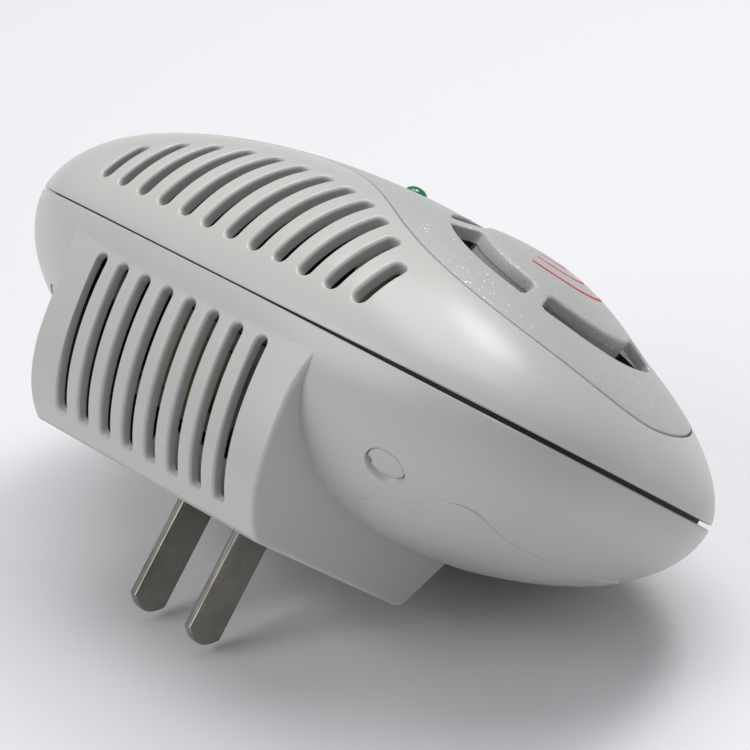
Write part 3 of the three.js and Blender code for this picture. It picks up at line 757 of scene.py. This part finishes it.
def wall_cap(name, x, y, radius, rings, dome=REAR, steps=40, squash=1.0, sink=0.0):
    """A plug through the case wall, whose rings follow its surface: (growth, depth).

    Squash narrows it down the slope, and sink lowers its side nearest the middle of the case.
    """
    bm = bmesh.new()
    loops = []
    slope = downhill(x, y)
    level = Vector((slope.y, -slope.x))
    for grow, deep in rings:
        loop = []
        for step in range(steps):
            turn = 2 * pi * step / steps
            reach = radius + grow
            spot = Vector((x, y)) + reach * (squash * cos(turn) * slope + sin(turn) * level)
            lowered = deep + sink * (1 - cos(turn) * reach / radius) / 2
            loop.append((*spot, surface(dome, *spot) - dome["side"] * lowered))
        loops.append(loop)
    return mesh_object(tidy(loft(bm, loops)), name)


def screw_places():
    return [(x, CASE_Y + side * SCREW_Y) for x in SCREW_X for side in (-1, 1)]


def front_shaded_faces(spot, normal):
    """Inner faces of the front half, past the wall or in the joint, which take the painted shade."""
    return within(FRONT, spot, case().wall - 0.3)


def rear_shaded_faces(spot, normal):
    """Inner faces of the rear half, its block and the lip in the joint, which take the painted shade."""
    deep = case().wall - 0.3
    x, y, z = spot
    if z > case().parting - 0.3:
        return outward(x, y, 1.1) < 1
    if abs(normal.x) > 0.9 and abs(x) > BLOCK_HALF - 1:
        return False
    end = min(block_curve(x), key=lambda point: abs(point[1] - z))[0] + 1.3 * deep
    block = abs(x) < BLOCK_HALF - deep and z > deep and end < y < BLOCK_SIDE - deep
    return block or within(REAR, spot, deep)


def build_front_cover():
    cover = half_form("case_front", FRONT)
    combine(cover, "DIFFERENCE", half_form("hollow", FRONT, case().wall, -1.0))
    seam = GAP / 2
    rings = ((seam, -0.3), (seam, -0.1), (seam + 0.04, -0.03), (seam + 0.15, 0.12))
    combine(cover, "DIFFERENCE", panel_plug("recess", rings), front_vents())
    return finish_piece(cover, case_plastic(), ("front_cover",), shaded_faces=front_shaded_faces)


def block_form(name, inset=0.0):
    """The plug block: its side view drawn out along X, with softened edges."""
    bm = bmesh.new()
    points = block_curve(0)
    if inset:
        points = [(y + inset, z) for y, z in points if z > inset] + [(-14.5, inset)]
    points += [(BLOCK_FRONT - inset, inset)]
    if not inset:
        points += [(13.6, 0.5), (14.3, 1.9)]
    points += [(BLOCK_SIDE - inset, 9), (BLOCK_SIDE - inset, case().parting - 0.16)]
    if inset:
        points[-1] = (points[-1][0], case().parting + 1)
        points[0] = (points[0][0], case().parting + 1)
    half = BLOCK_HALF - inset
    steps = 20
    stations = [half * (2 * step / steps - 1) for step in range(steps + 1)]
    loft(bm, [[(x, y, z) for y, z in points] for x in stations])
    tidy(bm)
    if not inset:
        rims = [edge for edge in bm.edges
                if all(abs(abs(vert.co.x) - half) < 1e-3 for vert in edge.verts)
                and edge.verts[0].co.x * edge.verts[1].co.x > 0]
        bmesh.ops.bevel(bm, geom=rims, offset=BLOCK_EASE, offset_type="OFFSET", segments=5, profile=0.5,
                        affect="EDGES", material=-1, clamp_overlap=True)
        base = outline_edge(0)
        for vert in bm.verts:
            if vert.co.y < 0 and vert.co.z > 1:
                share = smooth_step((vert.co.z - 1) / 20)
                vert.co.y += (outline_edge(vert.co.x) - base) * share
        for height in range(FLARE_FROM, 29, 2):
            bmesh.ops.bisect_plane(bm, geom=bm.verts[:] + bm.edges[:] + bm.faces[:], dist=MERGE,
                                   plane_co=(0, 0, height), plane_no=(0, 0, 1))
        for vert in bm.verts:
            flare = FLARE * smooth_step((vert.co.z - FLARE_FROM) / FLARE_RUN) ** 2
            draft = DRAFT * (1 - min(1.0, vert.co.z / DRAFT_RUN))
            vert.co.x *= 1 + flare - draft
    return mesh_object(tidy(bm), name)


def lip_ring():
    """The thin upstand inside the joint between the halves."""
    bm = bmesh.new()
    loops = []
    low, high, steps = case().parting + LIP_LOW, case().parting + LIP_HIGH, 120
    for inset, height in ((LIP_IN, low), (LIP_IN, high), (LIP_OUT, high), (LIP_OUT, low), (LIP_IN, low)):
        loops.append([(*outline_point(2 * pi * step / steps, inset), height) for step in range(steps)])
    loft(bm, loops, capped=False)
    return mesh_object(tidy(bm), "lip")


def label_pad():
    """The low, round-cornered pad beside the block where the rating label goes."""
    corner, bend = LABEL_CORNER, 12
    low, high, across = LABEL_LOW + corner, LABEL_HIGH - corner, LABEL_HALF - corner
    outline = []
    for start, (x, y) in enumerate(((high, across), (low, across), (low, -across), (high, -across))):
        for step in range(bend + 1):
            turn = pi / 2 * (start + step / bend)
            outline.append((x + corner * cos(turn), CASE_Y + y + corner * sin(turn)))
    bm = bmesh.new()
    loft(bm, [[(x, y, z) for x, y in outline] for z in (3.0, case().parting - 3.0)])
    pad = mesh_object(tidy(bm), "label_pad")
    return combine(pad, "INTERSECT", half_form("label_face", REAR, -LABEL_RISE, -1.0))


def build_rear_cover():
    cover = half_form("case_rear", REAR)
    combine(cover, "UNION", label_pad())
    combine(cover, "UNION", block_form("block"))
    combine(cover, "DIFFERENCE", half_form("hollow", REAR, case().wall, -1.0),
            block_form("hollow_block", case().wall))
    combine(cover, "UNION", lip_ring())
    combine(cover, "DIFFERENCE", block_vents())
    mouth = ((0.45, -0.3), (0.2, -0.03), (0.06, 0.1), (0.0, 0.3), (0.0, 4.0))
    for number, (x, y) in enumerate(screw_places()):
        combine(cover, "DIFFERENCE",
                wall_cap(f"seat_{number}", x, y, SEAT_RADIUS, mouth, squash=SCREW_SQUASH))
    holes = bmesh.new()
    thick, wide = BLADE_FACE + BLADE_PLAY, BLADE_HALF + BLADE_PLAY
    for side in (-1, 1):
        box(holes, (side * BLADE_X - thick, -wide, -1), (side * BLADE_X + thick, wide, 4))
    combine(cover, "DIFFERENCE", mesh_object(tidy(holes), "blade_holes"))
    return finish_piece(cover, case_plastic(), ("rear_cover",), shaded_faces=rear_shaded_faces)


def build_screw_caps():
    """Round plugs over the case screws, each with a notch to prise it out by."""
    rings = ((-0.3, 2.0), (0.0, 1.8), (0.0, 0.24), (-0.06, 0.13), (-0.2, 0.07), (-0.6, 0.05),
             (-1.6, 0.05))
    for number, (x, y) in enumerate(screw_places(), 1):
        cap = wall_cap(f"cap_{number}", x, y, CAP_RADIUS, rings, squash=SCREW_SQUASH, sink=CAP_SINK)
        slope = downhill(x, y)
        edge = Vector((x, y)) + 2.75 * Vector((slope.y, -slope.x)) - 0.6 * slope
        place = Matrix.Translation((*edge, surface(REAR, *edge)))
        notch = bmesh.new()
        bmesh.ops.create_cone(notch, cap_ends=True, segments=24, radius1=NOTCH_RADIUS,
                              radius2=NOTCH_RADIUS, depth=8, matrix=place)
        combine(cap, "DIFFERENCE", mesh_object(tidy(notch), "notch"))
        finish_piece(cap, case_plastic(), (f"screw_cap_{number}",))


# ---- the face panel ----
def grille_axes():
    """The grille's own axes: its middle on the panel's surface, leaning to the speaker end."""
    spot = (GRILLE_X, CASE_Y, surface(FRONT, GRILLE_X, CASE_Y))
    return Matrix.Translation(spot) @ Matrix.Rotation(radians(LEAN), 4, "Y")


def height_in_grille(axes, u, v):
    """Height of the front's surface over a point of the grille's plane."""
    low = 0.0
    for _ in range(6):
        spot = axes @ Vector((u, v, low))
        low += surface(FRONT, spot.x, spot.y) + bulge(spot.x, spot.y) - spot.z
    return low


def ring_slot(bm, axes, start, end):
    """One slot of the speaker ring, with rounded corners and a soft mouth."""
    corner, steps = SLOT_CORNER, 32
    rings = ((0.75, 7.0), (0.75, 0.3), (0.42, 0.03), (0.2, -0.08), (0.05, -0.25), (0.0, -0.45),
             (0.0, -9.0))
    loops = []
    for grow, over in rings:
        outline = []
        for radius, turns in ((GRILLE_OUT + 0.6 * grow, 1), (GRILLE_IN - grow, -1)):
            spread = (end - start) + 2 * grow / radius
            for step in range(steps + 1):
                share = step / steps
                eased = share if turns > 0 else 1 - share
                turn = start - grow / radius + spread * eased
                near = min(share, 1 - share) * spread * radius
                pull = corner - (corner ** 2 - (corner - near) ** 2) ** 0.5 if near < corner else 0.0
                outline.append((turn, radius - turns * pull))
        loop = []
        for turn, radius in outline:
            u, v = radius * cos(turn), radius * sin(turn)
            level = 0.0 if abs(over) > 1 else height_in_grille(axes, u, v)
            loop.append(axes @ Vector((u, v, level + over)))
        loops.append(loop)
    loft(bm, loops)


def skirt_form(axes):
    """The wall that drops from the middle of the grille towards the speaker."""
    outer, inner, low, high = SKIRT_OUT, SKIRT_IN, SKIRT_LOW, SKIRT_HIGH
    bm = bmesh.new()
    loops = []
    turns = [2 * pi * step / 96 for step in range(96)]
    for radius, height in ((outer, low), (outer, high), (inner, high), (inner, low), (outer, low)):
        loops.append([axes @ Vector((radius * cos(turn), radius * sin(turn), height)) for turn in turns])
    loft(bm, loops, capped=False)
    return mesh_object(tidy(bm), "skirt")


def build_face_panel():
    panel = half_form("face_panel_skin", FRONT, swell=True, steps=240)
    combine(panel, "DIFFERENCE", half_form("under", FRONT, PANEL_WALL, -2.0, swell=True))
    seam = -GAP / 2
    rings = ((seam, -0.3), (seam, -0.1), (seam - 0.04, -0.03), (seam - 0.15, 0.12))
    combine(panel, "INTERSECT", panel_plug("panel_plug", rings))
    axes = grille_axes()
    bm = bmesh.new()
    half_bridge = BRIDGE_HALF / GRILLE_OUT
    bridge = radians(BRIDGE_TURN)
    turns = (-bridge, bridge, pi - bridge, pi + bridge, 2 * pi - bridge)
    for a, b in zip(turns, turns[1:]):
        ring_slot(bm, axes, a + half_bridge, b - half_bridge)
    combine(panel, "DIFFERENCE", mesh_object(tidy(bm), "ring"))
    combine(panel, "UNION", skirt_form(axes))
    lamp_mouth = ((0.3, -0.2), (0.1, -0.02), (0.0, 0.12), (0.0, 5.0))
    combine(panel, "DIFFERENCE",
            wall_cap("lamp_hole", LAMP_X, CASE_Y, LAMP_RADIUS + 0.2, lamp_mouth, FRONT))
    return finish_piece(panel, panel_plastic(), ("face_panel",))


def build_lamp():
    """The indicator's round-topped lens."""
    radius, rise, steps = LAMP_RADIUS, LAMP_RISE, 10
    shoulder = LAMP_TOP - rise
    profile = [(0, LAMP_BASE), (radius, LAMP_BASE), (radius, shoulder)]
    for step in range(1, steps + 1):
        turn = pi / 2 * step / steps
        profile.append((radius * cos(turn) if step < steps else 0.0, shoulder + rise * sin(turn)))
    bm = spun(profile, 40)
    bmesh.ops.translate(bm, verts=bm.verts, vec=(LAMP_X, CASE_Y, 0))
    return finish_piece(mesh_object(bm, "lamp_lens"), lens_plastic(), ("indicator_led",), 60)


# ---- plug blades ----
def build_blades():
    """Two flat blades with arched, eased tips."""
    material = metal("blade metal", tuple(colours().blade), 0.3, (1, 0.06, 1), 2600.0)
    steps = 14
    for side, label in ((-1, "left"), (1, "right")):
        bm = bmesh.new()
        points = [(-BLADE_HALF, BLADE_ROOT)]
        for step in range(steps + 1):
            share = 2 * step / steps - 1
            points.append((BLADE_HALF * share, BLADE_ARCH * share * share - BLADE_OUT))
        points.append((BLADE_HALF, BLADE_ROOT))
        faces = [side * BLADE_X + face for face in (-BLADE_FACE, BLADE_FACE)]
        loft(bm, [[(x, y, z) for y, z in points] for x in faces])
        tidy(bm)
        rims = [edge for edge in bm.edges if abs(edge.verts[0].co.x - edge.verts[1].co.x) < MERGE]
        bmesh.ops.bevel(bm, geom=rims, offset=0.28, offset_type="OFFSET", segments=4, profile=0.5,
                        affect="EDGES", material=-1, clamp_overlap=True)
        finish_piece(mesh_object(tidy(bm), f"blade_{label}"), material,
                     (f"plug_blade_{label}",), 50)


# ---- what is inside ----
def build_inside():
    """Gives every CAD piece inside the case its own finish."""
    looks = {
        "white_plastic": plastic("white moulding", (0.72, 0.70, 0.64), 0.45),
        "black_plastic": plastic("black moulding", (0.02, 0.02, 0.022), 0.5, depth=0.3),
        "foam": plastic("foam ring", (0.015, 0.015, 0.015), 0.9, depth=1.0, grain=1500.0),
        "paper_cone": plastic("pressed cone", (0.30, 0.30, 0.28), 0.8, depth=0.8, grain=900.0),
        "board_green": plastic("board lacquer", (0.02, 0.16, 0.07), 0.35, drift=0.3),
        "lamination": plastic("varnished core", (0.09, 0.09, 0.10), 0.4, depth=0.5, grain=400.0),
        "tape_yellow": plastic("winding tape", (0.14, 0.09, 0.03), 0.4, drift=0.2),
        "sleeve_blue": plastic("capacitor sleeve", (0.02, 0.05, 0.12), 0.25, drift=0.1),
        "film_red": plastic("dipped film", (0.42, 0.05, 0.03), 0.25, drift=0.2),
        "glass_tube": plastic("fuse body", (0.66, 0.64, 0.56), 0.3),
        "resistor_body": plastic("resistor lacquer", (0.25, 0.45, 0.55), 0.5),
        "wire_brown": plastic("brown insulation", (0.10, 0.04, 0.02), 0.4),
        "wire_blue": plastic("blue insulation", (0.03, 0.09, 0.26), 0.4),
        "wire_red": plastic("red insulation", (0.45, 0.02, 0.02), 0.4),
        "wire_black": plastic("black insulation", (0.02, 0.02, 0.02), 0.4),
        "brass_disc": metal("brass", (0.56, 0.39, 0.14), 0.35),
        "steel": metal("plated steel", (0.52, 0.52, 0.50), 0.3),
        "copper_lead": metal("tinned lead", (0.60, 0.58, 0.54), 0.3),
    }
    slots = {part["node"]: part["material_slot"] for part in frame["record"]["subparts"]}
    for name, node in frame["nodes"].items():
        if slots.get(name) in looks:
            node.data.materials.clear()
            node.data.materials.append(looks[slots[name]])


# ---- stage ----
def aimed(location, forward, up):
    """A matrix that looks along forward with up held up."""
    back = -Vector(forward).normalized()
    right = Vector(up).cross(back).normalized()
    high = back.cross(right)
    matrix = Matrix((right, high, back)).transposed().to_4x4()
    matrix.translation = location
    return matrix


def build_camera(scene):
    camera = bpy.data.objects.new("camera", bpy.data.cameras.new("camera"))
    scene.collection.objects.link(camera)
    camera.data.sensor_width = CAMERA_SENSOR
    camera.data.lens = CAMERA_LENS
    camera.data.clip_start = 0.02
    camera.matrix_world = aimed(CAMERA_AT, -VIEW_BACK, VIEW_UP)
    scene.camera = camera


def table_material():
    """Pale and slightly clouded, and clear from below."""
    material, nodes = new_material("table")
    place = nodes.add("ShaderNodeTexCoord")
    haze = nodes.feed(nodes.add("ShaderNodeTexNoise"), Vector=place.outputs["Object"], Scale=3.0,
                      Detail=1.0)
    shade = nodes.tint(haze.outputs["Fac"], (0.78, 0.78, 0.80), (0.82, 0.82, 0.84))
    solid = nodes.feed(nodes.add("ShaderNodeBsdfPrincipled"), Base_Color=shade, Roughness=0.55)
    clear = nodes.add("ShaderNodeBsdfTransparent")
    back = nodes.add("ShaderNodeNewGeometry")
    mix = nodes.add("ShaderNodeMixShader")
    for socket, item in zip(mix.inputs, (back.outputs["Backfacing"], solid.outputs[0], clear.outputs[0])):
        nodes.put(socket, item)
    nodes.output(mix)
    return material


def build_table(stage):
    """The flat top that the case leans back on."""
    up = Vector((0, -cos(stage.lean), sin(stage.lean))).normalized()
    side = Vector((1, 0, 0))
    turn = Matrix((side, up.cross(side), up)).transposed().to_4x4()
    turn.translation = TABLE_AT
    bm = bmesh.new()
    bmesh.ops.create_grid(bm, x_segments=1, y_segments=1, size=TABLE_HALF)
    floor = mesh_object(bm, "floor")
    floor.data.transform(turn)
    floor.data.materials.append(table_material())


def build_lights(scene, stage):
    """The room's own light, two softboxes and a lamp that shines on the shoulder."""
    world = bpy.data.worlds.new("room")
    scene.world = world
    world.use_nodes = True
    sky = world.node_tree.nodes["Background"]
    sky.inputs["Color"].default_value = (0.93, 0.94, 1.0, 1)
    sky.inputs["Strength"].default_value = stage.room
    lamps = []
    for name, (across, high, near), size, power in (("softbox", KEY_AT, KEY_SIZE, stage.key),
                                                    ("side_fill", FILL_AT, FILL_SIZE, stage.fill)):
        spot = AIM + across * VIEW_RIGHT + high * VIEW_UP + near * VIEW_BACK
        lamps.append((name, spot, size, power))
    glint = Vector(GLINT_ON) + GLINT_AWAY * Vector(GLINT_FROM)
    lamps.append(("glint", glint, GLINT_SIZE, stage.glint))
    for name, spot, size, power in lamps:
        lamp = bpy.data.lights.new(name, "AREA")
        lamp.energy = power
        lamp.shape = "SQUARE"
        lamp.size = size
        holder = bpy.data.objects.new(name, lamp)
        scene.collection.objects.link(holder)
        holder.matrix_world = aimed(spot, AIM - spot, VIEW_BACK)


def build_stage():
    scene = bpy.context.scene
    build_camera(scene)
    build_table(scene.stage_sizes)
    build_lights(scene, scene.stage_sizes)
    scene.view_settings.view_transform = "Standard"


# ---- operators ----
class REPELLER_OT_stage(bpy.types.Operator):
    """Sets the table, the lights and the camera"""
    bl_idname = "repeller.stage"
    bl_label = "Stage"

    def execute(self, context):
        build_stage()
        return {"FINISHED"}


class REPELLER_OT_front_cover(bpy.types.Operator):
    """Builds the front half of the case, with its vent slots and the panel's recess"""
    bl_idname = "repeller.front_cover"
    bl_label = "Front cover"

    def execute(self, context):
        build_front_cover()
        return {"FINISHED"}


class REPELLER_OT_rear_cover(bpy.types.Operator):
    """Builds the rear half of the case, with its plug block and slots"""
    bl_idname = "repeller.rear_cover"
    bl_label = "Rear cover"

    def execute(self, context):
        build_rear_cover()
        return {"FINISHED"}


class REPELLER_OT_screw_caps(bpy.types.Operator):
    """Builds the round plugs over the case screws"""
    bl_idname = "repeller.screw_caps"
    bl_label = "Screw caps"

    def execute(self, context):
        build_screw_caps()
        return {"FINISHED"}


class REPELLER_OT_face_panel(bpy.types.Operator):
    """Builds the inset face panel with the speaker's dome and ring"""
    bl_idname = "repeller.face_panel"
    bl_label = "Face panel"

    def execute(self, context):
        build_face_panel()
        return {"FINISHED"}


class REPELLER_OT_lamp(bpy.types.Operator):
    """Builds the indicator's lens"""
    bl_idname = "repeller.lamp"
    bl_label = "Lamp"

    def execute(self, context):
        build_lamp()
        return {"FINISHED"}


class REPELLER_OT_blades(bpy.types.Operator):
    """Builds the two plug blades"""
    bl_idname = "repeller.blades"
    bl_label = "Plug blades"

    def execute(self, context):
        build_blades()
        return {"FINISHED"}


class REPELLER_OT_inside(bpy.types.Operator):
    """Gives the speaker, the board and the other inner parts their finishes"""
    bl_idname = "repeller.inside"
    bl_label = "Inside parts"

    def execute(self, context):
        build_inside()
        return {"FINISHED"}


OPERATORS = (
    REPELLER_OT_stage, REPELLER_OT_front_cover, REPELLER_OT_rear_cover, REPELLER_OT_screw_caps,
    REPELLER_OT_face_panel, REPELLER_OT_lamp, REPELLER_OT_blades, REPELLER_OT_inside,
)


class REPELLER_PT_panel(bpy.types.Panel):
    bl_idname = "REPELLER_PT_panel"
    bl_label = "Ultrasonic repeller"
    bl_space_type = "VIEW_3D"
    bl_region_type = "UI"
    bl_category = "Repeller"

    def draw(self, context):
        layout = self.layout
        for group in (context.scene.case_sizes, context.scene.finish, context.scene.stage_sizes):
            for name in group.bl_rna.properties.keys():
                if name not in ("rna_type", "name"):
                    layout.prop(group, name)
        for operator in OPERATORS:
            layout.operator(operator.bl_idname)


GROUPS = (("case_sizes", CaseSizes), ("finish", Finish), ("stage_sizes", StageSizes))
CLASSES = tuple(kind for _, kind in GROUPS) + OPERATORS + (REPELLER_PT_panel,)


def register():
    for kind in CLASSES:
        bpy.utils.register_class(kind)
    for name, kind in GROUPS:
        setattr(bpy.types.Scene, name, PointerProperty(type=kind))


def unregister():
    for name, _ in GROUPS:
        delattr(bpy.types.Scene, name)
    for kind in reversed(CLASSES):
        bpy.utils.unregister_class(kind)


def main():
    register()
    bpy.ops.repeller.stage()
    bpy.ops.repeller.front_cover()
    bpy.ops.repeller.rear_cover()
    bpy.ops.repeller.screw_caps()
    bpy.ops.repeller.face_panel()
    bpy.ops.repeller.lamp()
    bpy.ops.repeller.blades()
    bpy.ops.repeller.inside()


if __name__ == "__main__":
    main()
